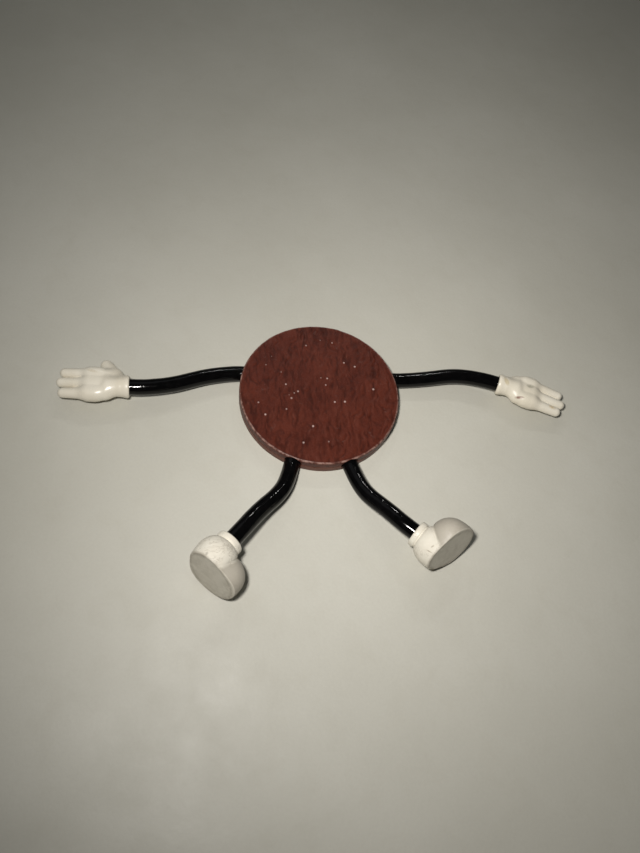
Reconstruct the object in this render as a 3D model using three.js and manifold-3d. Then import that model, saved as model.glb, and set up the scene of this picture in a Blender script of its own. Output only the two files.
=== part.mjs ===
// Bendable disc-body figure. Millimetres, +Z up, lying on its front face on z = 0.
// +Y points to the figure's head end, its back faces +Z.
import * as THREE from 'three';
import Module from 'manifold-3d';
import { mergeVertices } from 'three/addons/utils/BufferGeometryUtils.js';

const wasm = await Module();
wasm.setup();

// ---- driving dimensions -------------------------------------------------------------
const DISC_R = 25;            // body disc radius
const DISC_T = 5.6;           // body disc thickness, without the ridges
const MID = DISC_T / 2;       // height of the seam and of the armature
const EDGE = 0.6;             // bevel of the disc's outer edges
const SEAM = 0.2;             // groove at the seam, each side
const RIDGE_H = 0.3;          // height of the back's ridges
const RIDGE_W = 1.5;          // width of one ridge
const RIDGE_PITCH = 2.4;      // spacing of the ridges
const TUBE_R = 2.5;           // limb sleeve outer radius
const CUP_R = 2.8;            // concave end that faces a sleeve's ball end
const WIRE_R = 0.6;           // armature wire radius
const BORE_R = 0.76;          // wire bore radius
const CUFF_R = 3.4;           // glove and shoe cuff radius
const CUFF_L = 3.6;           // glove cuff length
const SOCKET_R = 2.62;        // hole in a cuff that takes the sleeve's end
const SOCKET_L = 3;           // its depth
const WIRE_IN = 3.5;          // how far the wire runs on past the sleeve's end
const V = (x, y, z) => new THREE.Vector3(x, y, z);

// Bend stations of each limb at rest, and the point where its cuff starts.
const LIMBS = {
  left_arm: { stations: [V(-25.6, 6.7, MID), V(-35, 4.6, 3.5), V(-44.2, 1, 4.3), V(-53.5, -1.2, 5.1)],
    cuff: V(-57.4, -1.5, 5.4) },
  right_arm: { stations: [V(25.8, 6.9, MID), V(35.5, 7.8, 3.3), V(45.3, 8.9, 4), V(54.5, 7.3, 4.9)],
    cuff: V(58.6, 5.9, 5.3) },
  left_leg: { stations: [V(-9, -24.7, MID), V(-11.6, -32.6, 5), V(-17.6, -39.9, 7.3), V(-22.9, -46.5, 8.9)],
    cuff: V(-25.65, -49.9, 9.45) },
  right_leg: { stations: [V(9, -24.7, MID), V(12, -32.2, 4.1), V(17, -37.9, 5.6), V(22, -43.2, 7)],
    cuff: V(25.2, -46.1, 7.4) },
};

// ---- materials ----------------------------------------------------------------------
const paint = (color, roughness) => new THREE.MeshStandardMaterial({ color, roughness, metalness: 0 });
const BACK = paint(0x5a2a21, 0.45);
const FRONT = paint(0x6b3a2a, 0.45);
const BLACK = paint(0x111113, 0.3);
const WHITE = paint(0xe9e4d6, 0.35);
const SHOE = paint(0xd9d6cc, 0.5);
const STEEL = new THREE.MeshStandardMaterial({ color: 0x9a9da0, roughness: 0.4, metalness: 1 });

// ---- solids -------------------------------------------------------------------------
function solid(geometry) {
  geometry.deleteAttribute('normal');
  geometry.deleteAttribute('uv');
  const g = mergeVertices(geometry, 1e-5);
  return new wasm.Manifold(new wasm.Mesh({ numProp: 3,
    vertProperties: new Float32Array(g.attributes.position.array),
    triVerts: new Uint32Array(g.index.array) }));
}
const join = (...s) => s.reduce((a, b) => a.add(b));

const group = new THREE.Group();
group.name = 'bendable_figure';
function node(name, shape, material) {
  const m = shape.getMesh();
  const g = new THREE.BufferGeometry();
  g.setAttribute('position', new THREE.BufferAttribute(new Float32Array(m.vertProperties), 3));
  g.setIndex(new THREE.BufferAttribute(new Uint32Array(m.triVerts), 1));
  g.computeVertexNormals();
  const mesh = new THREE.Mesh(g, material);
  mesh.name = name;
  group.add(mesh);
}

// A shape turned about Y is laid from point a along direction d.
function along(geometry, a, d) {
  const q = new THREE.Quaternion().setFromUnitVectors(V(0, 1, 0), d.clone().normalize());
  return geometry.applyQuaternion(q).translate(a.x, a.y, a.z);
}
function turned(profile, sides) {
  return new THREE.LatheGeometry(profile.map(([r, h]) => new THREE.Vector2(r, h)), sides);
}
function rod(points, r, sides = 8) {
  let out = null;
  points.slice(1).forEach((b, i) => {
    const a = points[i];
    const l = a.distanceTo(b);
    const c = solid(along(turned([[0, 0], [r, 0], [r, l], [0, l]], sides), a, b.clone().sub(a)));
    out = out ? join(out, c, ball(a, r, r, r, null, 8, 6)) : c;
  });
  return out;
}
function ball(c, rx, ry, rz, basis, sides = 16, rings = 10) {
  const g = new THREE.SphereGeometry(1, sides, rings).scale(rx, ry, rz);
  if (basis) g.applyMatrix4(new THREE.Matrix4().makeBasis(...basis));
  return solid(g.translate(c.x, c.y, c.z));
}
function capsule(a, b, r, sides = 10) {
  const l = a.distanceTo(b);
  const g = new THREE.CapsuleGeometry(r, l, 4, sides, 1).translate(0, l / 2, 0);
  return solid(along(g, a, b.clone().sub(a)));
}

// ---- body disc ----------------------------------------------------------------------
// Ridge i runs along the figure's length with its own wobble.
function ridge(x0, i) {
  const half = Math.sqrt(DISC_R ** 2 * 0.88 - x0 ** 2);
  const steps = 10;
  const pos = [];
  const idx = [];
  for (let k = 0; k <= steps; k += 1) {
    const y = -half + (2 * half * k) / steps;
    const x = x0 + 0.35 * Math.sin(y * 0.9 + i * 2.1);
    const w = k === 0 || k === steps ? 0.1 : (RIDGE_W / 2) * (1 + 0.15 * Math.sin(i + 2 * k));
    pos.push(x - w, y, DISC_T - 0.1, x + w, y, DISC_T - 0.1, x, y, DISC_T + (w > 0.2 ? RIDGE_H : 0));
    if (k > 0) {
      const a = 3 * (k - 1);
      for (const [p, q] of [[0, 1], [1, 2], [2, 0]]) {
        idx.push(a + p, a + q, a + q + 3, a + p, a + q + 3, a + p + 3);
      }
    }
  }
  const e = 3 * steps;
  idx.push(0, 2, 1, e, e + 1, e + 2);
  const g = new THREE.BufferGeometry();
  g.setAttribute('position', new THREE.Float32BufferAttribute(pos, 3));
  g.setIndex(idx.reverse());
  return new wasm.Manifold(new wasm.Mesh({ numProp: 3,
    vertProperties: new Float32Array(g.attributes.position.array),
    triVerts: new Uint32Array(g.index.array) }));
}
const SIDES = 64;
const half = (a, b, c, d) => solid(turned([[0, a], [DISC_R - c, a], [DISC_R, a + c],
  [DISC_R, b - d], [DISC_R - d, b], [0, b]], SIDES).rotateX(Math.PI / 2));
let front = half(0, MID, EDGE, SEAM);
let back = half(MID, DISC_T, SEAM, EDGE);
for (let i = -9; i <= 9; i += 1) back = back.add(ridge(i * RIDGE_PITCH, i + 10));

// the armature in the body: one wire from shoulder to shoulder, one looped from hip to hip
const inward = (limb, d) => {
  const [p, q] = limb.stations;
  return p.clone().sub(V(q.x - p.x, q.y - p.y, 0).normalize().multiplyScalar(d));
};
const { left_arm: LA, right_arm: RA, left_leg: LL, right_leg: RL } = LIMBS;
const shoulder = (limb, d) => limb.stations[0].clone().setX(limb.stations[0].x - Math.sign(limb.stations[0].x) * d);
const armPath = (d) => [shoulder(LA, d), shoulder(RA, d)];
const legPath = (d) => [inward(LL, d), inward(LL, 6), V(-5, -11, MID), V(-2.5, -7, MID), V(2.5, -7, MID),
  V(5, -11, MID), inward(RL, 6), inward(RL, d)];
let hollow = join(rod(armPath(0), BORE_R), rod(legPath(0), BORE_R));
for (const limb of Object.values(LIMBS)) hollow = hollow.add(ball(limb.stations[0], CUP_R, CUP_R, CUP_R));
node('body_front_half', front.subtract(hollow), FRONT);
node('body_back_half', back.subtract(hollow), BACK);
node('arm_wire_in_body', rod(armPath(CUP_R + 0.1), WIRE_R), STEEL);
node('leg_wire_in_body', rod(legPath(CUP_R + 0.1), WIRE_R), STEEL);

// ---- limbs --------------------------------------------------------------------------
// A sleeve segment: ball end about its own bend station, cup end facing the next one.
function sleeve(length, last) {
  const arc = (r, from, to, c, n) => Array.from({ length: n + 1 }, (_, k) => {
    const t = from + ((to - from) * k) / n;
    return [r * Math.sin(t), c - r * Math.cos(t)];
  });
  const start = arc(TUBE_R, Math.asin(BORE_R / TUBE_R), Math.PI / 2, 0, 5);
  const end = last ? [[TUBE_R, length], [BORE_R, length]]
    : arc(CUP_R, Math.asin(TUBE_R / CUP_R), Math.asin(BORE_R / CUP_R), length, 4);
  return turned([...start, ...end, start[0]], 16);
}
for (const [name, limb] of Object.entries(LIMBS)) {
  const ends = [...limb.stations.slice(1), limb.cuff];
  limb.stations.forEach((p, i) => {
    const d = ends[i].clone().sub(p);
    const last = i === 3;
    const length = d.length() + (last ? SOCKET_L - 0.2 : 0);
    const wireEnd = last ? length + WIRE_IN : length - CUP_R - 0.1;
    const wire = turned([[0, -2.2], [WIRE_R, -2.2], [WIRE_R, wireEnd], [0, wireEnd]], 8);
    node(`${name}_sleeve_${i + 1}`, solid(along(sleeve(length, last), p, d)), BLACK);
    node(`${name}_wire_${i + 1}`, solid(along(wire, p, d)), STEEL);
  });
}

// Local axes at a limb's cuff: u along the limb, v sideways, w up; then a local point in the world.
function local(limb, turn, sideHint) {
  const u = turn.clone().normalize();
  const v = sideHint.clone().addScaledVector(u, -sideHint.dot(u)).normalize();
  const w = u.clone().cross(v).normalize();
  if (w.z < 0) w.negate();
  const at = (a, b, c) => limb.cuff.clone().addScaledVector(u, a).addScaledVector(v, b).addScaledVector(w, c);
  return { u, v, w, at };
}
function socket(limb) {
  const p = limb.stations[3];
  const d = limb.cuff.clone().sub(p).normalize();
  const l = SOCKET_L + WIRE_IN + 0.2;
  const wide = solid(along(turned([[0, -4], [SOCKET_R, -4], [SOCKET_R, SOCKET_L], [0, SOCKET_L]], 16), limb.cuff, d));
  const thin = solid(along(turned([[0, 0], [BORE_R, 0], [BORE_R, l], [0, l]], 12), limb.cuff, d));
  return join(wide, thin);
}

// ---- gloves -------------------------------------------------------------------------
function cuff(limb, d, length, r) {
  return solid(along(turned([[0, 0], [r - 0.7, 0], [r, 0.7], [r, length - 0.7], [r - 0.7, length], [0, length]],
    16), limb.cuff, d));
}
// A hand is its palm, its fingers as [root, tip, reach], and its thumb as two stretches.
const HANDS = {
  left: { palm: 0.5, fingers: [[3.5, 3.9, 19.4], [0.3, 0.6, 19.9], [-2.9, -2.9, 18.9]],
    thumb: [[2.9, 1.5, -0.8], [5.3, 4.4, -1.5], [8.4, 8.6, -2.8]] },
  right: { palm: 0, fingers: [[3.3, 2.1, 20.8], [-0.1, -1.2, 21.7], [-3.3, -4.3, 20.4]],
    thumb: [[3.5, 1.2, -0.8], [6, 2.6, -1.4], [10.2, 5.4, -2.9]] },
};
function glove(limb, direction, { palm, fingers, thumb }) {
  const { u, at } = local(limb, direction, V(0, 1, 0));
  let g = join(cuff(limb, u, CUFF_L, CUFF_R), capsule(at(2.6, 0, 0), at(6, 0, 0), 2.9, 14));
  for (const side of [-1.9, 0, 1.9]) g = join(g, capsule(at(7.6, palm + side, 0), at(10.2, palm + side, 0), 3, 14));
  for (const [root, tip, reach] of fingers) g = join(g, capsule(at(9, root, 0), at(reach, tip, -0.6), 1.65));
  g = join(g, capsule(at(...thumb[0]), at(...thumb[1]), 2.1), capsule(at(...thumb[1]), at(...thumb[2]), 1.9));
  return g.subtract(socket(limb));
}
node('left_glove', glove(LA, V(-1, 0.03, -0.03), HANDS.left), WHITE);
node('right_glove', glove(RA, V(1, -0.25, -0.03), HANDS.right), WHITE);

// ---- shoes --------------------------------------------------------------------------
const ANKLE_R = 3.8;          // ankle cuff radius
const HEEL_AT = 6.2;          // cuff start to the heel's centre, along the leg
const SOLE = 4.2;             // heel centre to the sole's plane
const HEEL_R = [5.7, 5.7, 5.7]; // half sizes: height, length, width
const TOE_AT = [1.7, 4.3];  // toe cap's centre from the heel's: towards the sole, forward
const TOE_R = [6.3, 6.4, 8.2];
const SOLE_AT = 3.2;         // sole's centre ahead of the heel's
const SOLE_R = [8.2, 6.9];    // its half length and half width
const SOLE_TAPER = 0.05;     // how much wider the toe end is than the middle
function shoe(limb, down, toe) {
  const leg = limb.cuff.clone().sub(limb.stations[3]).normalize();
  const heel = limb.cuff.clone().addScaledVector(leg, HEEL_AT);
  const d = down.clone().normalize();
  const t = toe.clone().addScaledVector(d, -toe.dot(d)).normalize();
  const basis = [d, t, d.clone().cross(t)];
  const cap = heel.clone().addScaledVector(d, TOE_AT[0]).addScaledVector(t, TOE_AT[1]);
  const slab = turned([[0, SOLE - 4], [0.75, SOLE - 4], [0.96, SOLE - 2], [1, SOLE - 0.8], [0.96, SOLE],
    [0, SOLE]], 24);
  const v = slab.attributes.position;
  for (let i = 0; i < v.count; i += 1) v.setZ(i, v.getZ(i) * (1 + SOLE_TAPER * v.getX(i)));
  const mid = heel.clone().addScaledVector(t, SOLE_AT);
  const sole = solid(slab.scale(SOLE_R[0], 1, SOLE_R[1])
    .applyMatrix4(new THREE.Matrix4().makeBasis(t, d, basis[2].clone().negate())).translate(mid.x, mid.y, mid.z));
  const below = solid(new THREE.BoxGeometry(20, 60, 40).translate(SOLE + 10, 0, 0)
    .applyMatrix4(new THREE.Matrix4().makeBasis(...basis)).translate(heel.x, heel.y, heel.z));
  const upper = join(cuff(limb, leg, 3, ANKLE_R), ball(heel, ...HEEL_R, basis, 20, 12),
    ball(cap, ...TOE_R, basis, 20, 12), sole);
  return upper.subtract(below).subtract(socket(limb));
}
node('left_shoe', shoe(LL, V(-0.615, -0.76, 0.21), V(0.35, -0.5, -0.79)), SHOE);
node('right_shoe', shoe(RL, V(0.5, -0.82, 0.283), V(0.85, 0.525, 0.02)), SHOE);

export default group;
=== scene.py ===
# The looks of the bendable disc-body figure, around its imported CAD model.
# Lengths here are in millimetres, and MM turns them into metres.
import math
import bmesh
import bpy
import numpy as np
from mathutils import Euler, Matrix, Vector


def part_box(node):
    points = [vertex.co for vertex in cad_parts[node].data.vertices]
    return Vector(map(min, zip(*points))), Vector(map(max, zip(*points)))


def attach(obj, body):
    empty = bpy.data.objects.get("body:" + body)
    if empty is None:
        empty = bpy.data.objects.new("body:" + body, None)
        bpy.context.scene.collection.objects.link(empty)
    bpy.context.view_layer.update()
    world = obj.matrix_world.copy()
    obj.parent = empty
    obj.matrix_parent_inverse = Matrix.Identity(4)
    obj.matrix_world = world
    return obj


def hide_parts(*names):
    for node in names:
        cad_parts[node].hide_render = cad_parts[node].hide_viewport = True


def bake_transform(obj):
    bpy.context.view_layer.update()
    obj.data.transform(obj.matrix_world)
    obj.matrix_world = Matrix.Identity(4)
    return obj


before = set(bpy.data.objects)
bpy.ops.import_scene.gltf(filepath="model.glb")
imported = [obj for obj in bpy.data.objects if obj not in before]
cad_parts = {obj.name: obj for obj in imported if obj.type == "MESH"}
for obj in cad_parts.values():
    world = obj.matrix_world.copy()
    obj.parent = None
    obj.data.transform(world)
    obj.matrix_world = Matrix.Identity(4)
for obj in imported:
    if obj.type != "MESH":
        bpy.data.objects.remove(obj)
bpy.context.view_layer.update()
MM = 0.001
scene = bpy.context.scene

# ---- dimensions, in mm -----------------------------------------------------------------
# The disc, the bends and the wire are the CAD's. The tubes, holes and sockets differ a little,
# so that the smooth tubes clear what they run into.
DISC_R, DISC_T, EDGE, SEAM = 25.0, 5.6, 0.6, 0.2
MID = DISC_T / 2
TUBE_R, BORE_R, WIRE_R = 2.43, 0.78, 0.6
HOLE_R, HOLE_DEPTH = 2.5, 5.2
SOCKET_R, SOCKET_L = 2.52, 3.0
WIRE_HOLE_R, WIRE_HOLE_PAST = 0.8, 3.7   # the wire's hole beyond a socket, and its depth there
TUBE_SHORT, WIRE_PAST = 0.3, 3.2         # a tube stops short of a socket's end, a wire goes past
ROOT_IN = 3.6                 # how far a tube runs into the body from its first bend
BEND = 3.8                    # half length of a bend along the tube
# how far each of a limb's bends runs back and on from its middle
BEND_SPANS = ((1.4, BEND + 0.4), (BEND, BEND), (BEND, BEND), (BEND, 3.4))
# each limb's four bends and its cuff
LIMBS = {
    "left_arm": [(-25.6, 6.7, MID), (-35, 4.6, 3.5), (-44.2, 1, 4.3),
                 (-53.5, -1.2, 5.1), (-57.4, -1.5, 5.4)],
    "right_arm": [(25.8, 6.9, MID), (35.5, 7.8, 3.3), (45.3, 8.9, 4),
                  (54.5, 7.3, 4.9), (58.6, 5.9, 5.3)],
    "left_leg": [(-9, -24.7, MID), (-11.6, -32.6, 5), (-17.6, -39.9, 7.3),
                 (-22.9, -46.5, 8.9), (-25.65, -49.9, 9.45)],
    "right_leg": [(9, -24.7, MID), (12, -32.2, 4.1), (17, -37.9, 5.6),
                  (22, -43.2, 7), (25.2, -46.1, 7.4)],
}
LIMBS = {k: np.array(v, float) for k, v in LIMBS.items()}


def unit(v):
    v = np.asarray(v, float)
    return v / np.linalg.norm(v)


# ---- camera and lights -----------------------------------------------------------------
CAMERA_AT = (-25.61, -104.13, 173.97)
CAMERA_TURN = (28.5, -7.59, -1.7)        # degrees
LENS, SENSOR = 27.05, 36
camera_data = bpy.data.cameras.new("camera")
camera_data.lens, camera_data.sensor_width = LENS, SENSOR
camera_data.clip_start, camera_data.clip_end = 0.001, 10
camera = bpy.data.objects.new("camera", camera_data)
camera.location = Vector(CAMERA_AT) * MM
camera.rotation_euler = Euler([math.radians(a) for a in CAMERA_TURN], "XYZ")
scene.collection.objects.link(camera)
scene.camera = camera


def area_light(name, at, aim, size, power, colour, spread=180):
    """A round soft light at a point in mm, aimed at another, with its power in watts."""
    data = bpy.data.lights.new(name, "AREA")
    data.shape = "DISK"
    data.size, data.energy, data.color = size * MM, power, colour
    data.spread = math.radians(spread)
    o = bpy.data.objects.new(name, data)
    o.location = Vector(at) * MM
    o.rotation_euler = (Vector(aim) - Vector(at)).to_track_quat("-Z", "Y").to_euler()
    scene.collection.objects.link(o)


area_light("key", (-46, -86, 184), (48, 32, 0), 20, 0.235, (1, 0.965, 0.925), spread=121)
area_light("fill", (-160, 190, 330), (0, 0, 0), 340, 0.07, (0.93, 0.97, 1))
for spark, at in (("spark_left", (-15, 242, 260)), ("spark_right", (95, 240, 260))):
    area_light(spark, at, (0, 0, 0), 12, 0.055, (1, 0.98, 0.95))
world = bpy.data.worlds.new("studio")
scene.world = world
world.use_nodes = True
background = world.node_tree.nodes["Background"]
background.inputs["Color"].default_value = (0.93, 0.96, 0.9, 1)
background.inputs["Strength"].default_value = 0.045
scene.view_settings.view_transform = "Standard"


# ---- materials -------------------------------------------------------------------------
SPOT_SOFT = 0.35              # half width of a spot's faded edge, as a share of its radius
# Colours, linear. A pair is the two ends that a cloud of noise runs between.
BACK_BROWN = ((0.058, 0.0120, 0.0068), (0.084, 0.0180, 0.0098), (0.120, 0.036, 0.024))
FRONT_BROWN = ((0.085, 0.030, 0.019), (0.13, 0.048, 0.031), (0.19, 0.075, 0.05))
# the first colour on the next line is chipped wear that also paints a sheen on the disc's bevel; the
# second paints glints on the beads' tops
CHIPPED_AND_SHEEN, PAINTED_GLINT, DUST = (0.48, 0.32, 0.27), (0.55, 0.40, 0.36), (0.42, 0.36, 0.33)
BLACK = ((0.0008, 0.0008, 0.0009), (0.0030, 0.0027, 0.0029))
CREAM, GLOVE_STAIN = ((0.66, 0.61, 0.50), (0.72, 0.68, 0.58)), (0.45, 0.37, 0.25)
OFF_WHITE, SHOE_STAIN = ((0.66, 0.62, 0.53), (0.73, 0.70, 0.61)), (0.46, 0.40, 0.28)
# the second colour on the next line is painted shade for the toe cap and the sole
CRACK, TOE_SHADE, SOLE_TINT = (0.24, 0.20, 0.15), (0.365, 0.335, 0.28), (0.66, 0.63, 0.54)
SCUFF, RIM_DIRT = (0.31, 0.28, 0.22), (0.22, 0.19, 0.14)
STEEL = ((0.42, 0.43, 0.44), (0.60, 0.61, 0.62))
FLOOR = ((0.47, 0.46, 0.40), (0.53, 0.52, 0.46))
FLOOR_CLOUD, FLOOR_GRAIN = (0.42, 0.40, 0.33), (0.33, 0.32, 0.28)


class Paint:
    """A node material: colours and roughness from noise in the piece's own coordinates, or in
    those that one of its attributes holds."""

    def __init__(self, name, coordinates="Object"):
        self.material = bpy.data.materials.new(name)
        self.material.use_nodes = True
        self.tree = self.material.node_tree
        self.shader = self.tree.nodes["Principled BSDF"]
        if coordinates == "Object":
            self.at = self.node("ShaderNodeTexCoord").outputs["Object"]
        else:
            a = self.node("ShaderNodeAttribute")
            a.attribute_name = coordinates
            self.at = a.outputs["Vector"]

    def node(self, kind, **values):
        n = self.tree.nodes.new(kind)
        for k, v in values.items():
            setattr(n, k, v)
        return n

    def put(self, socket, value):
        """Links a socket to another one, or sets its value."""
        if isinstance(value, bpy.types.NodeSocket):
            self.tree.links.new(value, socket)
        elif value is not None:
            socket.default_value = value

    def moved(self, scale=(1, 1, 1), turn=(0, 0, 0), place=(0, 0, 0)):
        """The coordinates stretched, turned and shifted."""
        n = self.node("ShaderNodeMapping")
        self.put(n.inputs["Vector"], self.at)
        n.inputs["Location"].default_value = place
        n.inputs["Scale"].default_value = scale
        n.inputs["Rotation"].default_value = turn
        return n.outputs["Vector"]

    def noise(self, per_mm, detail=3.0, rough=0.5, at=None, warp=0.0):
        n = self.node("ShaderNodeTexNoise")
        self.put(n.inputs["Vector"], at or self.at)
        n.inputs["Scale"].default_value = per_mm / MM
        n.inputs["Detail"].default_value = detail
        n.inputs["Roughness"].default_value = rough
        n.inputs["Distortion"].default_value = warp
        return n.outputs["Fac"]

    def spread(self, value, low, high, to_low=0.0, to_high=1.0):
        """A value's range from low to high, stretched to another range and clamped."""
        n = self.node("ShaderNodeMapRange", clamp=True)
        self.put(n.inputs["Value"], value)
        ends = {"From Min": low, "From Max": high, "To Min": to_low, "To Max": to_high}
        for k, v in ends.items():
            n.inputs[k].default_value = v
        return n.outputs["Result"]

    def math(self, operation, a, b=None):
        n = self.node("ShaderNodeMath", operation=operation)
        self.put(n.inputs[0], a)
        self.put(n.inputs[1], b)
        return n.outputs[0]

    def mix(self, share, a, b):
        n = self.node("ShaderNodeMix", data_type="RGBA", blend_type="MIX")
        self.put(n.inputs[0], share)
        for s, v in ((n.inputs[6], a), (n.inputs[7], b)):
            self.put(s, (*v, 1) if isinstance(v, tuple) else v)
        return n.outputs[2]

    def attribute(self, name):
        return self.node("ShaderNodeAttribute", attribute_name=name).outputs["Fac"]

    def spot(self, centre, radii, turn):
        """1 inside an ellipsoid about centre (mm), fading to 0 outside it."""
        n = self.node("ShaderNodeVectorMath", operation="SUBTRACT")
        self.put(n.inputs[0], self.at)
        n.inputs[1].default_value = Vector(centre) * MM
        r = self.node("ShaderNodeVectorRotate", rotation_type="EULER_XYZ")
        self.put(r.inputs["Vector"], n.outputs[0])
        r.inputs["Rotation"].default_value = turn
        d = self.node("ShaderNodeVectorMath", operation="DIVIDE")
        self.put(d.inputs[0], r.outputs[0])
        d.inputs[1].default_value = Vector(radii) * MM
        length = self.node("ShaderNodeVectorMath", operation="LENGTH")
        self.put(length.inputs[0], d.outputs[0])
        return self.spread(length.outputs["Value"], 1 - SPOT_SOFT, 1 + SPOT_SOFT, 1.0, 0.0)

    def finish(self, colour, rough, height, bump_mm, **fixed):
        """Colour, roughness and a fine bump, and the shader's values that are the same all over."""
        self.put(self.shader.inputs["Base Color"], colour)
        self.put(self.shader.inputs["Roughness"], rough)
        for k, v in fixed.items():
            self.shader.inputs[k.replace("_", " ")].default_value = v
        n = self.node("ShaderNodeBump")
        n.inputs["Distance"].default_value = bump_mm * MM
        n.inputs["Strength"].default_value = 1.0
        self.put(n.inputs["Height"], height)
        self.put(self.shader.inputs["Normal"], n.outputs["Normal"])
        return self.material


def body_paint(name, browns, ridged):
    """Moulded brown vinyl: clouds, dark and light streaks along the figure, painted shade in the
    back's folds, edge wear that also paints a sheen on the bevel, painted glints on the beads, and
    dust.
    """
    deep, mid, high = browns
    p = Paint(name)
    c = p.mix(p.spread(p.noise(0.12, 4, 0.6), 0.35, 0.65), deep, mid)
    c = p.mix(p.spread(p.noise(2.2, 3, 0.6), 0.45, 0.75, 0, 0.35), c, high)
    dark = p.noise(0.42, 4, 0.6, at=p.moved((1.5, 0.42, 1), (0, 0, 0.1)), warp=0.5)
    c = p.mix(p.spread(dark, 0.50, 0.66, 0, 0.75), c, tuple(0.55 * v for v in deep))
    light = p.noise(0.5, 4, 0.6, at=p.moved((1.4, 0.5, 1), place=(0.05, 0.02, 0)), warp=0.4)
    c = p.mix(p.spread(light, 0.56, 0.74, 0, 0.5), c, high)
    if ridged:
        # painted shade: darker in the folds of the back's relief
        folds = p.spread(p.attribute("relief"), 0.05, 0.5, 0.6, 0.0)
        c = p.mix(folds, c, tuple(0.5 * v for v in deep))
    # edge wear on the bevel, strong enough that it also paints a sheen along it
    chips_and_sheen = p.spread(p.noise(0.55, 4, 0.7), 0.42, 0.6, 0.08, 0.58)
    c = p.mix(p.math("MULTIPLY", p.attribute("worn"), chips_and_sheen), c, CHIPPED_AND_SHEEN)
    # painted glints: pale tops on the raised beads
    c = p.mix(p.spread(p.attribute("speck"), 0.4, 1.1, 0, 0.7), c, PAINTED_GLINT)
    c = p.mix(p.spread(p.noise(0.32, 6, 0.7, warp=0.4), 0.62, 0.78, 0, 0.12), c, DUST)
    rough = p.spread(p.noise(0.8, 4, 0.6), 0.3, 0.7, 0.34, 0.46)
    return p.finish(c, rough, p.noise(1.6, 4, 0.55), 0.02, Specular_IOR_Level=0.13)


def tube_paint():
    """Glossy black vinyl, whose pattern follows the tube when it bends."""
    p = Paint("black_vinyl", "rest_at")
    c = p.mix(p.spread(p.noise(0.5, 5, 0.6), 0.35, 0.75), *BLACK)
    rough = p.spread(p.noise(0.9, 5, 0.65), 0.35, 0.7, 0.06, 0.13)
    return p.finish(c, rough, p.noise(0.42, 3, 0.5), 0.05, Specular_IOR_Level=0.22)


def glove_paint():
    """Cream vinyl with yellowed blotches, a few rubbed marks, and painted shade in the right glove's
    dimple.
    """
    p = Paint("cream_gloss")
    c = p.mix(p.spread(p.noise(0.11, 4, 0.5), 0.35, 0.65), *CREAM)
    c = p.mix(p.spread(p.noise(0.9, 6, 0.7, warp=0.6), 0.64, 0.78, 0, 0.35), c, GLOVE_STAIN)
    # besides rubbed marks, this paints shade into the right glove's dimple
    for centre, radii, turn, colour in GLOVE_MARKS_AND_SHADE:
        patchy = p.spread(p.noise(1.8, 4, 0.7), 0.3, 0.55, 0.25, 0.9)
        c = p.mix(p.math("MULTIPLY", p.spot(centre, radii, turn), patchy), c, colour)
    rough = p.spread(p.noise(0.5, 4, 0.6), 0.35, 0.7, 0.22, 0.40)
    return p.finish(c, rough, p.noise(0.7, 4, 0.5), 0.03, Specular_IOR_Level=0.5)


def shoe_paint():
    """Worn off-white vinyl: stains, fine cracks, marks, painted shade on the toe cap and the sole, a
    greyer tint on the sole, a dirty rim.
    """
    p = Paint("off_white_plastic")
    c = p.mix(p.spread(p.noise(0.13, 4, 0.55), 0.35, 0.65), *OFF_WHITE)
    c = p.mix(p.spread(p.noise(0.6, 5, 0.7, warp=0.5), 0.60, 0.80, 0, 0.30), c, SHOE_STAIN)
    cracks = (((0, 0, 0.7), (0.35, 2.6, 2.6)), ((0.4, 0.2, 2.1), (0.4, 3.2, 3.2)))
    for k, (turn, stretch) in enumerate(cracks):
        n = p.noise(0.55, 3, 0.55, at=p.moved(stretch, turn, place=(0.03 * k, 0, 0)), warp=0.5)
        line = p.spread(p.math("ABSOLUTE", p.math("SUBTRACT", n, 0.5)), 0.01, 0.05, 1.0, 0.0)
        region = p.noise(0.16, 3, 0.5, at=p.moved(place=(0.02, 0.05 * k, 0.01)))
        share = p.math("MULTIPLY", line, p.spread(region, 0.50, 0.60))
        c = p.mix(p.math("MULTIPLY", share, 0.38), c, CRACK)
    for centre, radii, turn, colour in SHOE_MARKS:
        patchy = p.spread(p.noise(1.6, 4, 0.7), 0.3, 0.55, 0.2, 0.9)
        c = p.mix(p.math("MULTIPLY", p.spot(centre, radii, turn), patchy), c, colour)
    # painted shade: the toe cap and the sole darkened
    c = p.mix(p.spread(p.attribute("toe"), 0.35, 0.9, 0, 0.85), c, TOE_SHADE)
    c = p.mix(p.spread(p.attribute("sole"), 0.5, 0.9, 0, 0.6), c, SOLE_TINT)
    scuffs = p.spread(p.noise(0.28, 6, 0.7, warp=0.8), 0.42, 0.66, 0, 0.42)
    c = p.mix(p.math("MULTIPLY", p.attribute("sole"), scuffs), c, SCUFF)
    dirt = p.spread(p.noise(0.5, 4, 0.6), 0.35, 0.6, 0.1, 0.6)
    c = p.mix(p.math("MULTIPLY", p.attribute("rim"), dirt), c, RIM_DIRT)
    rough = p.spread(p.noise(0.6, 5, 0.65), 0.3, 0.7, 0.40, 0.62)
    return p.finish(c, rough, p.noise(1.1, 5, 0.6), 0.05, Specular_IOR_Level=0.45)


def steel_paint():
    """Plain drawn wire, a little dulled."""
    p = Paint("drawn_steel")
    c = p.mix(p.spread(p.noise(1.2, 4, 0.6), 0.3, 0.7), *STEEL)
    rough = p.spread(p.noise(2.4, 3, 0.6), 0.3, 0.7, 0.26, 0.44)
    return p.finish(c, rough, p.noise(3.0, 3, 0.6), 0.01, Metallic=1.0)


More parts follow.
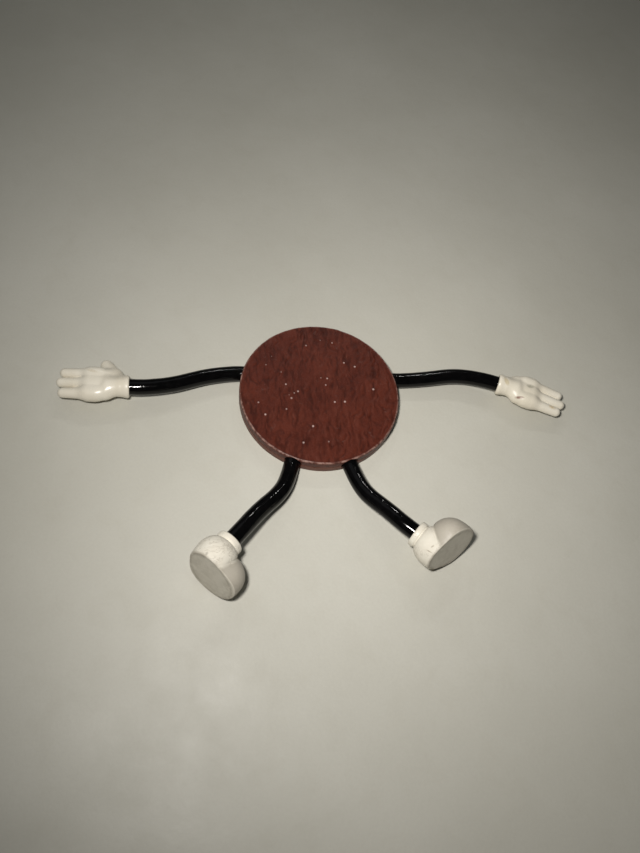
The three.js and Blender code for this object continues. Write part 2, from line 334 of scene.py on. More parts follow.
def floor_paint():
    """A pale table top with faint clouds and grain."""
    p = Paint("pale_floor")
    c = p.mix(p.spread(p.noise(0.008, 5, 0.6), 0.35, 0.65), *FLOOR)
    c = p.mix(p.spread(p.noise(0.10, 6, 0.7, warp=0.5), 0.5, 0.85, 0, 0.30), c, FLOOR_CLOUD)
    c = p.mix(p.spread(p.noise(1.3, 3, 0.6), 0.35, 0.7, 0, 0.10), c, FLOOR_GRAIN)
    rough = p.spread(p.noise(0.05, 4, 0.6), 0.3, 0.7, 0.42, 0.60)
    return p.finish(c, rough, p.noise(0.35, 6, 0.6), 0.06, Specular_IOR_Level=0.35)


# ---- mesh tools ------------------------------------------------------------------------
def mesh_object(name, points, faces, **values):
    """A smooth-shaded object from points in mm, with values per point as attributes."""
    me = bpy.data.meshes.new(name)
    me.from_pydata((np.asarray(points) * MM).tolist(), [], [list(map(int, f)) for f in faces])
    me.validate()
    me.shade_smooth()
    for k, v in values.items():
        v = np.asarray(v, np.float32)
        kind = "FLOAT_VECTOR" if v.ndim == 2 else "FLOAT"
        a = me.attributes.new(k, kind, "POINT")
        a.data.foreach_set("vector" if v.ndim == 2 else "value", v.ravel())
    o = bpy.data.objects.new(name, me)
    scene.collection.objects.link(o)
    return o


def crease_over(o, degrees):
    """Smooth shading, but for edges that turn more sharply than this."""
    o.data.shade_smooth()
    o.data.set_sharp_from_angle(angle=math.radians(degrees))


def dress(o, material, node):
    """Gives a piece its material and slot, and hides the CAD node that it stands for."""
    o.data.materials.clear()
    o.data.materials.append(material)
    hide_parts(node)


def perlin(x, y, seed):
    """Gradient noise, about -0.7 to 0.7, at points in lattice units."""
    n = 64
    angle = np.random.default_rng(seed).uniform(0, 2 * math.pi, (n, n))
    gx, gy = np.cos(angle), np.sin(angle)
    i, j = np.floor(x).astype(int), np.floor(y).astype(int)
    fx, fy = x - i, y - j
    u, v = fx ** 3 * (fx * (6 * fx - 15) + 10), fy ** 3 * (fy * (6 * fy - 15) + 10)
    out = 0
    for a, wa in ((0, 1 - u), (1, u)):
        for b, wb in ((0, 1 - v), (1, v)):
            p, q = (i + a) % n, (j + b) % n
            out = out + wa * wb * (gx[p, q] * (fx - a) + gy[p, q] * (fy - b))
    return out


def surface_net(f, low, high, step):
    """A closed mesh of the surface where f is 0, and its points pulled onto it."""
    rounds = 3
    axes = [np.arange(a - 2 * step, b + 2.5 * step, step) for a, b in zip(low, high)]
    grid = np.stack(np.meshgrid(*axes, indexing="ij"), -1)
    d = f(grid.reshape(-1, 3)).reshape(grid.shape[:3])
    cells = tuple(n - 1 for n in d.shape)
    total, count = np.zeros(cells + (3,)), np.zeros(cells)
    crossings = []
    for ax in range(3):
        lower = tuple(slice(0, -1) if k == ax else slice(None) for k in range(3))
        upper = tuple(slice(1, None) if k == ax else slice(None) for k in range(3))
        d0, d1 = d[lower], d[upper]
        cross = (d0 < 0) != (d1 < 0)
        t = np.where(cross, d0 / np.where(cross, d0 - d1, 1), 0)[..., None]
        at = grid[lower] * (1 - t) + grid[upper] * t
        others = [k for k in range(3) if k != ax]
        for a in (0, 1):
            for b in (0, 1):
                s = [slice(None)] * 3
                for k, o in zip(others, (a, b)):
                    s[k] = slice(o, o + cells[k])
                s = tuple(s)
                total += at[s] * cross[s][..., None]
                count += cross[s]
        crossings.append((ax, others, cross, d0 < 0))
    used = count > 0
    ids = np.full(cells, -1)
    ids[used] = np.arange(used.sum())
    points = total[used] / count[used][:, None]
    faces = []
    for ax, others, cross, inside in crossings:
        e = np.argwhere(cross)
        e = e[(e[:, others[0]] > 0) & (e[:, others[1]] > 0)
              & (e[:, others[0]] < cells[others[0]]) & (e[:, others[1]] < cells[others[1]])]
        quad = []
        for a, b in ((1, 1), (0, 1), (0, 0), (1, 0)):
            c = e.copy()
            c[:, others[0]] -= a
            c[:, others[1]] -= b
            quad.append(ids[tuple(c.T)])
        quad = np.stack(quad, -1)
        flip = inside[tuple(e.T)] == (ax == 1)
        quad[flip] = quad[flip][:, ::-1]
        faces.append(quad)
    faces = np.concatenate(faces)
    edges = np.concatenate([faces[:, [k, (k + 1) % 4]] for k in range(4)])
    h = step * 0.2

    def pull(p, times):
        """Steps down the field's slope to where it is 0."""
        for _ in range(times):
            v = f(p)
            g = np.stack([f(p + h * e) - f(p - h * e) for e in np.eye(3)], -1) / (2 * h)
            g2 = np.maximum((g * g).sum(1), 0.05)
            move = -(v / g2)[:, None] * g
            size = np.linalg.norm(move, axis=1, keepdims=True)
            p = p + move * np.minimum(1, 0.6 * step / np.maximum(size, 1e-9))
        return p

    for _ in range(rounds):
        near, n = np.zeros_like(points), np.zeros(len(points))
        np.add.at(near, edges[:, 0], points[edges[:, 1]])
        np.add.at(n, edges[:, 0], 1)
        points = pull(0.5 * points + 0.5 * near / n[:, None], 1)
    return pull(points, 2), faces


def smin(a, b, k):
    """The smaller of two distances, rounded where they meet."""
    h = np.clip(0.5 + 0.5 * (b - a) / k, 0, 1)
    return b + (a - b) * h - k * h * (1 - h)


def smax(a, b, k):
    return -smin(-a, -b, k)


def capsule(p, a, b, ra, rb):
    """About the distance to a rod from a to b with round ends, of radius ra to rb."""
    a, b = np.asarray(a, float), np.asarray(b, float)
    ab = b - a
    t = np.clip(((p - a) @ ab) / (ab @ ab), 0, 1)
    return np.linalg.norm(p - a - t[:, None] * ab, axis=1) - (ra + (rb - ra) * t)


def ellipsoid(p, c, r):
    """About the distance to an ellipsoid."""
    q = (p - np.asarray(c, float)) / np.asarray(r, float)
    k0 = np.linalg.norm(q, axis=1)
    k1 = np.linalg.norm(q / np.asarray(r, float), axis=1)
    return k0 * (k0 - 1) / np.maximum(k1, 1e-6)


def rod(p, a, b, r, k):
    """A cylinder from a to b with softened ends."""
    a, b = np.asarray(a, float), np.asarray(b, float)
    d = unit(b - a)
    t = (p - a) @ d
    out = np.linalg.norm(p - a - t[:, None] * d, axis=1) - r
    return smax(smax(out, -t, k), t - np.linalg.norm(b - a), k)


def outward(o):
    """Faces point out of the solid."""
    bm = bmesh.new()
    bm.from_mesh(o.data)
    bmesh.ops.recalc_face_normals(bm, faces=bm.faces)
    if bm.calc_volume(signed=True) < 0:
        bmesh.ops.reverse_faces(bm, faces=bm.faces)
    bm.to_mesh(o.data)
    bm.free()


def smooth(t):
    """0 to 1 with level ends, for t from 0 to 1 and past both ends."""
    t = np.clip(t, 0, 1)
    return t * t * (3 - 2 * t)


# ---- body disc -------------------------------------------------------------------------
RELIEF = 0.17                 # height of the back's ridges
FACE_R = DISC_R - EDGE
BEADS, BEAD_SPREAD, BEAD_SEED = 25, 21, 49
BACK_GRID, FRONT_GRID = 288, 150
TUBE_SIDES, WIRE_SIDES = 56, 20
TUBE_PITCH, WIRE_PITCH = 0.22, 0.3       # distance between rings of points, along a limb


def relief(x, y):
    """0 in the folds to 1 on the crests: short, broken, wavy streaks along the figure."""
    bend = 1.1 * perlin(x / 9 + 5, y / 6 + 9, 11) + 0.55 * perlin(x / 3.2, y / 2.7 + 4, 12)
    u = x / 2.0 + 1.3 * bend + 0.9 * perlin(x / 4.2 + 3, y / 4.6, 13)
    folds = 0.5 - 0.5 * np.cos(2 * math.pi * u)
    patches = np.clip(0.45 + 1.9 * perlin(x / 2.4 + 20, y / 3.6 + 11, 16), 0, 1)
    v = x / 1.25 + 1.1 * perlin(x / 4, y / 3, 15)
    cells = 0.55 + 0.8 * perlin(v, y / 3.0 + 7, 14)
    lumps = 0.5 + 0.8 * perlin(x / 1.5, y / 1.9, 17)
    h = patches * folds + (1 - patches) * cells
    calm = 0.72 + 0.28 * np.clip((np.hypot(x, y) - 6) / 7, 0, 1)
    return np.clip(0.5 + calm * (0.66 * h + 0.34 * lumps - 0.5), 0, 1)


def beads(x, y):
    """Height of a few small raised specks, scattered over the face, in mm."""
    rng = np.random.default_rng(BEAD_SEED)
    out = np.zeros_like(x)
    for _ in range(BEADS):
        r = BEAD_SPREAD * math.sqrt(rng.random())
        a = rng.uniform(0, 6.28)
        high, size = rng.uniform(0.14, 0.28), rng.uniform(0.3, 0.44)
        away = (x - r * math.cos(a)) ** 2 + (y - r * math.sin(a)) ** 2
        out = np.maximum(out, high * np.exp(-away / size ** 2))
    return out


def face_height(x, y, back):
    """A face's mean level, and at each point its height, its pattern and its specks."""
    r = np.hypot(x, y)
    fade = smooth((FACE_R - r) / 1.1)
    if back:
        mean = DISC_T - 0.12
        pattern, specks = relief(x, y), beads(x, y) * fade
        z = mean + RELIEF * (pattern - 0.30) * (0.3 + 0.7 * fade) + specks
    else:
        mean = DISC_T - 0.02
        pattern = np.clip(0.5 + 0.5 * perlin(x / 3, y / 3, 31), 0, 1)
        specks = np.zeros_like(x)
        z = mean - 0.22 * smooth((FACE_R - 2.0 - r) / 0.8) - 0.03 * pattern * fade
    return mean, z, pattern, specks


def half(name, back):
    """One half of the disc: a face, a soft bevel, the rim and the seam's lip. The front half is
    built face up like the back one, and then turned over."""
    n = BACK_GRID if back else FRONT_GRID
    g = np.linspace(-1, 1, n + 1)
    u, v = np.meshgrid(g, g, indexing="ij")
    x, y = u * np.sqrt(1 - v * v / 2) * FACE_R, v * np.sqrt(1 - u * u / 2) * FACE_R
    mean, z, pattern, specks = face_height(x, y, back)
    ids = np.arange((n + 1) ** 2).reshape(n + 1, n + 1)
    faces = [np.stack([ids[:-1, :-1], ids[1:, :-1], ids[1:, 1:], ids[:-1, 1:]], -1).reshape(-1, 4)]
    ring = np.concatenate([ids[:-1, 0], ids[-1, :-1], ids[:0:-1, -1], ids[0, :0:-1]])
    count = len(ring)
    points = [np.stack([x, y, z], -1).reshape(-1, 3)]
    # each point also carries its share of painted glint, and of edge wear with painted sheen
    level, speck, worn = [pattern.ravel()], [specks.ravel() / 0.2], [np.zeros(x.size)]
    base, last = len(points[0]), ring
    edge_xy, edge_z = points[0][ring, :2] / FACE_R, points[0][ring, 2]
    edge_xy = edge_xy / np.linalg.norm(edge_xy, axis=1, keepdims=True)
    angle = np.arctan2(edge_xy[:, 1], edge_xy[:, 0])
    wave = 0.07 * perlin(angle * 9, np.full(count, 2.5), 33) \
        + 0.05 * perlin(angle * 19, np.full(count, 4.5), 34)
    wave = wave * (1 if back else 0.6)
    # each row down the edge: radius, height, how worn it is (which also sets its painted sheen), how
    # far it follows the face's edge
    rows = [(DISC_R - EDGE * (1 - math.sin(t)), DISC_T - EDGE * (1 - math.cos(t)),
             math.sin(2 * t), 1 - t / 1.57) for t in np.linspace(0.25, 1.5708, 7)]
    rows += [(DISC_R, DISC_T - EDGE - s * (DISC_T - EDGE - MID - SEAM), 0.1, 0)
             for s in np.linspace(0.16, 1, 6)]
    rows += [(DISC_R - SEAM * 0.35, MID + SEAM * 0.3, 0, 0), (DISC_R - SEAM, MID, 0, 0),
             (DISC_R - 1.2, MID, 0, 0)]
    for row_r, row_z, wear_and_sheen, follow in rows:
        wavy = wave if row_z > MID + 0.3 else 0 * wave
        row_zs = row_z + (edge_z - mean) * follow
        points.append(np.column_stack([edge_xy * (row_r + wavy)[:, None], row_zs]))
        level.append(np.full(count, 0.45))
        speck.append(np.zeros(count))
        worn.append(np.full(count, wear_and_sheen))
        new = base + np.arange(count)
        faces.append(np.stack([last, new, np.roll(new, -1), np.roll(last, -1)], -1))
        base, last = base + count, new
    points = np.concatenate(points)
    faces = [f[::-1] for f in np.concatenate(faces).tolist()] + [last.tolist()]
    if not back:
        points[:, 2] = DISC_T - points[:, 2]
        faces = [f[::-1] for f in faces]
    o = mesh_object(name, points, faces, relief=np.concatenate(level),
                    speck=np.concatenate(speck), worn=np.concatenate(worn))
    outward(o)
    return o


def inward(stations):
    """The direction from a limb's first bend into the body."""
    p, q = stations[0], stations[1]
    if abs(p[0]) > abs(p[1]):          # an arm goes straight in sideways
        return np.array([-math.copysign(1, p[0]), 0, 0])
    return -unit([q[0] - p[0], q[1] - p[1], 0])


def cut(o, cutters):
    """Takes the cutters out of a piece's mesh."""
    for k, c in enumerate(cutters):
        m = o.modifiers.new(f"cut_{k}", "BOOLEAN")
        m.operation, m.object, m.solver = "DIFFERENCE", c, "EXACT"
    bpy.context.view_layer.update()
    dg = bpy.context.evaluated_depsgraph_get()
    me = bpy.data.meshes.new_from_object(o.evaluated_get(dg), preserve_all_data_layers=True,
                                         depsgraph=dg)
    o.modifiers.clear()
    old, o.data = o.data, me
    bpy.data.meshes.remove(old)


def turned(name, profile, a, d):
    """A closed solid of revolution: (radius, distance) rows along d from a."""
    sides = TUBE_SIDES
    s = unit(np.cross(d, [0.3, 0.2, 1]))
    t = np.cross(d, s)
    w = np.linspace(0, 2 * math.pi, sides, endpoint=False)
    points, faces = [], []
    for r, h in profile:
        points.append(a + h * d + r * (np.cos(w)[:, None] * s + np.sin(w)[:, None] * t))
    for k in range(len(profile) - 1):
        i, j = k * sides + np.arange(sides), (k + 1) * sides + np.arange(sides)
        faces += np.stack([i, np.roll(i, -1), np.roll(j, -1), j], -1).tolist()
    faces.append(list(range(sides))[::-1])
    faces.append([(len(profile) - 1) * sides + k for k in range(sides)])
    o = mesh_object(name, np.concatenate(points), faces)
    outward(o)
    return o


front, back = half("body_front", False), half("body_back", True)
hole = [(HOLE_R + 0.5, -1.6), (HOLE_R + 0.35, 1.2), (HOLE_R, 1.75), (HOLE_R, HOLE_DEPTH)]
holes = [turned(f"hole_{limb}", hole, stations[0], inward(stations))
         for limb, stations in LIMBS.items()]
for o in (front, back):
    cut(o, holes)
for o in holes:
    bpy.data.objects.remove(o)
for o, paint, slot in ((front, body_paint("brown_front", FRONT_BROWN, False), "body_front"),
                       (back, body_paint("brown_back", BACK_BROWN, True), "body_back")):
    crease_over(o, 50)
    dress(o, paint, f"{slot}_half")
    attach(o, "body")


# ---- limbs -----------------------------------------------------------------------------
def centreline(limb):
    """A smooth line through a limb's bends: its points, the distance along it at each of them,
    and the distance at each bend and at the cuff."""
    s = LIMBS[limb]
    d = unit(s[4] - s[3])
    knots = np.vstack([s[0] + inward(s) * 7, s[0] + inward(s) * ROOT_IN * 0.5, s,
                       s[4] + d * 3, s[4] + d * 9])
    t = np.concatenate([[0], np.cumsum(np.linalg.norm(np.diff(knots, axis=0), axis=1) ** 0.5)])
    # natural cubic spline through the knots
    n = len(t)
    h = np.diff(t)
    a = np.zeros((n, n))
    b = np.zeros((n, 3))
    a[0, 0] = a[-1, -1] = 1
    for i in range(1, n - 1):
        a[i, i - 1:i + 2] = h[i - 1], 2 * (h[i - 1] + h[i]), h[i]
        b[i] = 6 * ((knots[i + 1] - knots[i]) / h[i] - (knots[i] - knots[i - 1]) / h[i - 1])
    m = np.linalg.solve(a, b)

    def at(u):
        i = np.clip(np.searchsorted(t, u, side="right") - 1, 0, n - 2)
        p, q = (t[i + 1] - u)[:, None], (u - t[i])[:, None]
        hi = h[i][:, None]
        return (m[i] * p ** 3 + m[i + 1] * q ** 3) / (6 * hi) + (knots[i] / hi - m[i] * hi / 6) * p \
            + (knots[i + 1] / hi - m[i + 1] * hi / 6) * q

    u = np.linspace(t[0], t[-1], 3000)
    line = at(u)
    far = np.concatenate([[0], np.cumsum(np.linalg.norm(np.diff(line, axis=0), axis=1))])
    return line, far, np.interp(t[2:7], u, far)


def along(line, far, s):
    """The points at distances s along a line."""
    return np.stack([np.interp(s, far, line[:, k]) for k in range(3)], -1)


def sweep(name, line, far, start, end, radii, pitch, sides, seed):
    """A closed solid along the line from start to end. Its radii are its outside's and its
    bore's, or its outside's alone. A bored one is slightly uneven outside, by its seed."""
    n = max(4, int(round((end - start) / pitch)))
    s = np.linspace(start, end, n + 1)
    centre = along(line, far, s)
    step = 0.02
    tangent = along(line, far, s + step) - along(line, far, s - step)
    tangent /= np.linalg.norm(tangent, axis=1, keepdims=True)
    side = np.cross(tangent, [0, 0, 1.0])
    side /= np.linalg.norm(side, axis=1, keepdims=True)
    over = np.cross(side, tangent)
    w = np.linspace(0, 2 * math.pi, sides, endpoint=False)
    spoke = np.cos(w)[:, None] * side[:, None] + np.sin(w)[:, None] * over[:, None]
    r = [np.full((n + 1, sides), v) for v in radii]
    bored = len(radii) == 2
    if bored:
        wave = 0.035 * perlin(np.add.outer(s / 3.1, 0 * w),
                              np.add.outer(0 * s, np.cos(w) * 1.2 + 3 * seed), 41 + seed)
        wave = wave + 0.02 * perlin(np.add.outer(s / 1.3, 0 * w),
                                    np.add.outer(0 * s, np.sin(w) * 2 + 5), 51 + seed)
        r[0] = r[0] + wave
    points = np.concatenate([(centre[:, None] + v[..., None] * spoke).reshape(-1, 3) for v in r])
    faces = []
    bore = (n + 1) * sides                    # the bore's points follow the outside's
    for k in range(n):
        i, j = k * sides + np.arange(sides), (k + 1) * sides + np.arange(sides)
        faces += np.stack([i, j, np.roll(j, -1), np.roll(i, -1)], -1).tolist()
        if bored:
            inner = [bore + i, bore + np.roll(i, -1), bore + np.roll(j, -1), bore + j]
            faces += np.stack(inner, -1).tolist()
    i, j = np.arange(sides), n * sides + np.arange(sides)
    if bored:
        faces += np.stack([i, np.roll(i, -1), bore + np.roll(i, -1), bore + i], -1).tolist()
        faces += np.stack([j, bore + j, bore + np.roll(j, -1), np.roll(j, -1)], -1).tolist()
    else:
        faces += [i.tolist(), j[::-1].tolist()]
    o = mesh_object(name, points, faces, rest_at=points * MM)
    outward(o)
    crease_over(o, 60)
    return o


vinyl, steel = tube_paint(), steel_paint()
for number, (limb, stations) in enumerate(LIMBS.items()):
    line, far, stops = centreline(limb)
    # Lengths meet halfway between bends, and the last one ends in the glove or shoe.
    ends = [stops[0] - ROOT_IN, *((stops[:3] + stops[1:4]) / 2), stops[4] + SOCKET_L - TUBE_SHORT]
    wire_ends = ends[:-1] + [stops[4] + SOCKET_L + WIRE_PAST]
    for i, (back_by, on_by) in enumerate(BEND_SPANS):
        tube = sweep(f"{limb}_tube_{i + 1}", line, far, ends[i], ends[i + 1],
                     (TUBE_R, BORE_R), TUBE_PITCH, TUBE_SIDES, number)
        core = sweep(f"{limb}_core_{i + 1}", line, far, wire_ends[i], wire_ends[i + 1],
                     (WIRE_R,), WIRE_PITCH, WIRE_SIDES, number)
        for o, paint, slot in ((tube, vinyl, "sleeve"), (core, steel, "wire")):
            dress(o, paint, f"{limb}_{slot}_{i + 1}")
            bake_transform(o)
for name in ("arm_wire_in_body", "leg_wire_in_body"):
    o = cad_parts[name]
    o.data.materials.clear()
    o.data.materials.append(steel)


# ---- gloves ----------------------------------------------------------------------------
class Hand:
    """Local axes at an arm's cuff: along the hand, sideways and up; in mm."""

    def __init__(self, limb, direction):
        s = LIMBS[limb]
        self.cuff = s[4]
        sideways = np.array([0, 1.0, 0])
        self.u = unit(direction)
        self.v = unit(sideways - np.dot(sideways, self.u) * self.u)
        self.w = np.cross(self.u, self.v)
        if self.w[2] < 0:
            self.w = -self.w
        self.m = np.stack([self.u, self.v, self.w])
        self.axis = self.m @ unit(s[4] - s[3])          # the arm's direction

    def into(self, p):
        return (p - self.cuff) @ self.m.T

    def at(self, u, v, w):
        return self.cuff + u * self.u + v * self.v + w * self.w


def socket_cut(d, q, axis):
    """Takes the tube's socket and the wire's hole out of a glove or shoe."""
    wide = rod(q, -6 * axis, axis * SOCKET_L, SOCKET_R, 0.1)
    thin = rod(q, 0 * axis, axis * (SOCKET_L + WIRE_HOLE_PAST), WIRE_HOLE_R, 0.05)
    return smax(d, -np.minimum(wide, thin), 0.12)


def soft_box(q, centre, half_size, r):
    """About the distance to a box with rounded edges."""
    a = np.abs(q - np.asarray(centre, float)) - (np.asarray(half_size, float) - r)
    return np.linalg.norm(np.maximum(a, 0), axis=1) + np.minimum(a.max(axis=1), 0) - r


CUFF_R, CUFF_TAPER, CUFF_END = 3.02, 0.2, 7.4
CUFF_ROLL, CUFF_ROLL_AT, CUFF_ROLL_WIDTH = 0.36, 0.8, 1.15
# Palm and knuckles, each as a box: how far along and up its middle is, half its size, its edge.
PALM = ((9.2, -0.15), (4.3, 4.95, 2.2), 2.1)
KNUCKLES = ((10.9, -0.15), (2.5, 5.05, 2.05), 1.9)
FINGER_ROOT, FINGER_ROOT_UP, FINGER_TIP_UP = 9.4, 0.12, -0.5
FINGER_R, THUMB_R = (1.92, 1.52), (2.3, 2.2, 1.9)
# A hand is its palm's place sideways, its fingers as (root, tip, reach), its thumb's three points
# and a dimple.
HANDS = {
    "left": (0.5, [(3.5, 3.9, 19.5), (0.3, 0.6, 20.0), (-2.9, -2.9, 19.0)],
             [(2.6, 1.6, -0.8), (5.2, 4.4, -1.5), (8.4, 8.6, -2.7)], None),
    "right": (0.0, [(3.3, 2.1, 20.9), (-0.1, -1.2, 21.8), (-3.3, -4.3, 20.5)],
              [(3.5, 1.2, -0.8), (6.0, 2.6, -1.4), (10.2, 5.4, -2.9)],
              ((10.4, 0.8, 4.0), (1.5, 0.8, 1.25))),
}


def glove_shape(hand, palm_at, fingers, thumb, dimple):
    """The glove as a distance field."""
    def f(points):
        q = hand.into(points)
        up_arm = q @ hand.axis
        r = np.linalg.norm(q - up_arm[:, None] * hand.axis, axis=1)
        flare = CUFF_R + CUFF_ROLL * np.exp(-((up_arm - CUFF_ROLL_AT) / CUFF_ROLL_WIDTH) ** 2)
        flare = flare - CUFF_TAPER * np.clip(up_arm - 2.9, 0, 4.5)
        d = smax(smax(r - flare, 0.05 - up_arm, 0.4), up_arm - CUFF_END, 1.5)
        palm, knuckles = (soft_box(q, (at, palm_at - 0.1, up), half_size, edge)
                          for (at, up), half_size, edge in (PALM, KNUCKLES))
        d = smin(d, smin(palm, knuckles, 1.6), 2.6)
        rods = None
        for root, tip, reach in fingers:
            c = capsule(q, (FINGER_ROOT, root, FINGER_ROOT_UP), (reach, tip, FINGER_TIP_UP),
                        *FINGER_R)
            rods = c if rods is None else smin(rods, c, 0.14)
        d = smin(d, rods, 1.7)
        lower, upper = (capsule(q, thumb[k], thumb[k + 1], THUMB_R[k], THUMB_R[k + 1])
                        for k in (0, 1))
        d = smin(d, smin(lower, upper, 0.8), 1.6)
        if dimple:
            d = smax(d, -ellipsoid(q, *dimple), 0.6)
        return socket_cut(d, q, hand.axis)

    return f


GLOVES = {"left": Hand("left_arm", (-1, 0.03, -0.03)),
          "right": Hand("right_arm", (1, -0.25, -0.03))}
# Rubbed marks, painted shade in the right glove's dimple, and a slightly darker patch at the left
# index finger's root: centre, radii, turn and colour.
left, right = GLOVES["left"], GLOVES["right"]
GLOVE_MARKS_AND_SHADE = [
    (right.at(7.1, -4.3, 2.2), (1.35, 0.34, 1.4), (0, 0, 0.12), (0.20, 0.10, 0.07)),
    # painted shade in the right glove's dimple
    (right.at(10.4, 0.8, 2.8), (1.3, 0.7, 1.2), (0, 0, 0.1), (0.40, 0.38, 0.30)),
    (right.at(18.6, -3.9, 0.6), (1.2, 0.7, 1.4), (0, 0, 0.3), (0.58, 0.46, 0.28)),
    (right.at(2.0, -0.4, 3.2), (1.3, 0.7, 1.0), (0, 0, 1.3), (0.52, 0.44, 0.28)),
    # a slightly darker patch at the left index finger's root
    (left.at(11, 3.4, 2.5), (1.5, 0.4, 1.0), (0, 0, 0.3), (0.60, 0.54, 0.42)),
]
STEP = 0.21      # distance between a surface net's points
NET_MARGIN = 0.6


def net_around(node, shape):
    """The surface net of a shape, in the space that a CAD node fills."""
    low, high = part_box(node)
    return surface_net(shape, [v / MM - NET_MARGIN for v in low],
                       [v / MM + NET_MARGIN for v in high], STEP)


glove_material = glove_paint()
for side, hand in GLOVES.items():
    points, faces = net_around(f"{side}_glove", glove_shape(hand, *HANDS[side]))
    o = mesh_object(f"{side}_hand_glove", points, faces)
    outward(o)
    dress(o, glove_material, f"{side}_glove")
    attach(o, f"{side}_hand")


# ---- shoes -----------------------------------------------------------------------------
HEEL_AT, HEEL_R = 6.2, 5.7      # the heel's ball, from the cuff
SOLE = 3.8                      # from the heel's middle down to the sole; 4.2 in the CAD
TOE_AT, TOE_R = (1.7, 4.3, 0), (6.3, 6.4, 8.2)
SOLE_AT, SOLE_R, SOLE_TAPER, SOLE_MEAN_R = 3.2, (8.2, 6.9), 0.05, 7.0
CAP_FADE = 1.2                  # width of the change from the heel's colour to the toe cap's painted shade
# The ankle's rolled ring and its neck: middle along the leg, half length, radius.
RING_AT, RING_HALF, RING_R, RING_ROUND = 1.0, 0.45, 3.32, 0.5
NECK_AT, NECK_HALF, NECK_R = 2.8, 2.4, 3.15
GROOVE_AT, GROOVE_WIDTH, GROOVE_DEPTH, GROOVE_END_R = 2.05, 0.3, 0.2, 4.8
CREASE_WIDTH, CREASE_DEPTH = 0.4, 0.22   # between heel and toe


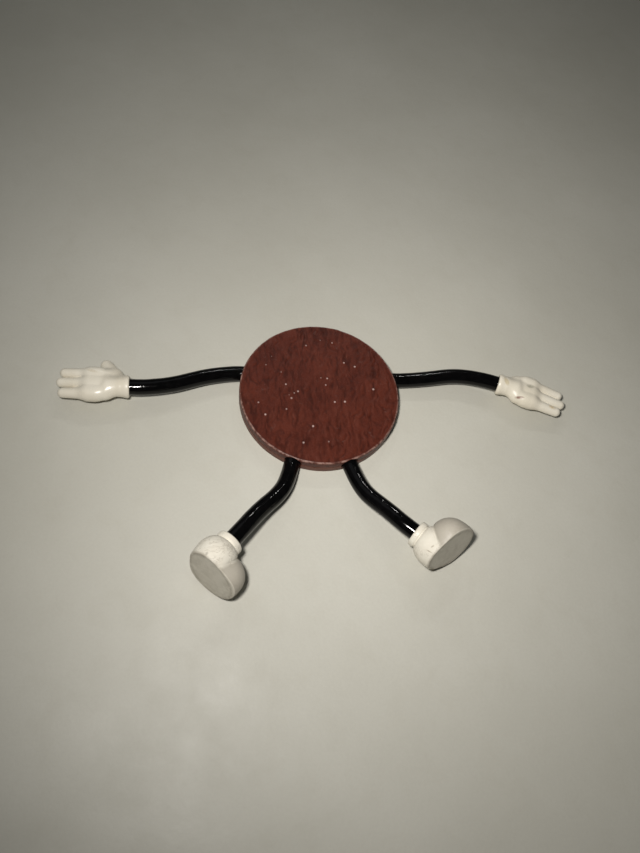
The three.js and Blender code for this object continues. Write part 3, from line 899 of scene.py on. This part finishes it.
class Shoe:
    """Local axes at a heel's middle: down to the sole, to the toe and sideways; in mm."""

    def __init__(self, limb, down, toe):
        s = LIMBS[limb]
        leg = unit(s[4] - s[3])
        self.heel = s[4] + leg * HEEL_AT
        self.d = unit(down)
        self.t = unit(np.asarray(toe, float) - np.dot(toe, self.d) * self.d)
        self.s = np.cross(self.d, self.t)
        self.m = np.stack([self.d, self.t, self.s])
        self.axis = self.m @ leg
        self.ankle = self.m @ (s[4] - self.heel)

    def into(self, p):
        return (p - self.heel) @ self.m.T

    def at(self, d, t, s):
        return self.heel + d * self.d + t * self.t + s * self.s

    def outline(self, q):
        """About how far points are outside the sole's rounded outline."""
        t = (q[:, 1] - SOLE_AT) / SOLE_R[0]
        wide = SOLE_R[1] * (1 + SOLE_TAPER * np.clip(t, -1, 1))
        return (np.sqrt(np.maximum(t ** 2 + (q[:, 2] / wide) ** 2, 1e-9)) - 1) * SOLE_MEAN_R

    def domes(self, q):
        """Distances to the heel's ball and to the toe cap."""
        return ellipsoid(q, (0, 0, 0), (HEEL_R,) * 3), ellipsoid(q, TOE_AT, TOE_R)

    def cap(self, p):
        """0 on the heel's dome to 1 on the toe cap."""
        heel, toe = self.domes(self.into(p))
        return np.clip(0.5 + (heel - toe) / CAP_FADE, 0, 1)

    def under(self, p):
        """0 on the upper to 1 on the sole."""
        return np.clip((self.into(p)[:, 0] - SOLE + 0.6) / 0.5, 0, 1)

    def rim(self, p):
        """1 on the sole's edge, fading to 0 within about half a millimetre."""
        q = self.into(p)
        near = np.exp(-((self.outline(q) + 0.35) / 0.45) ** 2)
        return near * np.clip((q[:, 0] - SOLE + 1.2) / 0.8, 0, 1)

    def shape(self, points):
        """The shoe as a distance field: a ring and neck at the ankle, two domes and the sole."""
        q = self.into(points)
        up_leg = (q - self.ankle) @ self.axis
        r = np.linalg.norm(q - self.ankle - up_leg[:, None] * self.axis, axis=1)
        ring = np.hypot(np.maximum(np.abs(up_leg - RING_AT) - RING_HALF, 0),
                        np.maximum(r - RING_R, 0)) - RING_ROUND
        neck = smax(r - NECK_R, np.abs(up_leg - NECK_AT) - NECK_HALF, 0.3)
        heel, toe = self.domes(q)
        flare = 0.3 * np.clip(SOLE - 1.2 - q[:, 0], 0, 3)
        slab = smax(self.outline(q) + flare, (SOLE - 2.6) - q[:, 0], 1.0)
        crease = np.exp(-((heel - toe) / CREASE_WIDTH) ** 2)
        d = smin(smin(heel, toe, 0.15) + CREASE_DEPTH * crease, slab, 1.2)
        d = smax(d, q[:, 0] - SOLE, 0.3)
        d = smin(smin(ring, neck, 0.15), d, 0.06)
        groove = np.exp(-((up_leg - GROOVE_AT) / GROOVE_WIDTH) ** 2) * np.clip(GROOVE_END_R - r, 0, 1)
        return socket_cut(d + GROOVE_DEPTH * groove, q - self.ankle, self.axis)


SHOES = {
    "left": Shoe("left_leg", (-0.615, -0.76, 0.21), (0.35, -0.5, -0.79)),
    "right": Shoe("right_leg", (0.5, -0.82, 0.283), (0.85, 0.525, 0.02)),
}
left, right = SHOES["left"], SHOES["right"]
SHOE_MARKS = [
    (left.at(3.0, -4.4, 1.9), (0.45, 0.7, 0.5), (0, 0, 0.4), (0.10, 0.08, 0.06)),
    (left.at(2.6, -4.9, -0.6), (0.3, 0.4, 0.4), (0, 0, 0), (0.12, 0.09, 0.07)),
    (left.at(0.6, 2.9, 4.9), (1.0, 1.2, 1.0), (0, 0, 0.6), (0.22, 0.20, 0.16)),
    (right.at(3.0, 2.3, 4.3), (0.6, 0.5, 0.5), (0, 0, 0), (0.10, 0.08, 0.06)),
    (right.at(1.9, -2.4, 4.8), (0.5, 0.22, 0.5), (0, 0, -0.5), (0.34, 0.29, 0.22)),
    (right.at(2.3, -3.7, 3.6), (1.0, 0.13, 0.8), (0, 0, 0.7), (0.34, 0.29, 0.22)),
]
shoe_material = shoe_paint()
for side, shoe in SHOES.items():
    points, faces = net_around(f"{side}_shoe", shoe.shape)
    under = shoe.under(points)
    # the toe attribute marks where painted shade goes: the toe cap and the sole
    o = mesh_object(f"{side}_foot_shoe", points, faces, sole=under,
                    toe=np.maximum(shoe.cap(points), under), rim=shoe.rim(points))
    outward(o)
    dress(o, shoe_material, f"{side}_shoe")
    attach(o, f"{side}_foot")


# ---- floor -----------------------------------------------------------------------------
FLOOR_SIZE, FLOOR_CELLS = 3.0, 60        # in metres
bpy.ops.mesh.primitive_grid_add(x_subdivisions=FLOOR_CELLS, y_subdivisions=FLOOR_CELLS,
                                size=FLOOR_SIZE, location=(0, 0, 0))
floor = bpy.context.object
floor.name = "floor"
floor.data.materials.append(floor_paint())
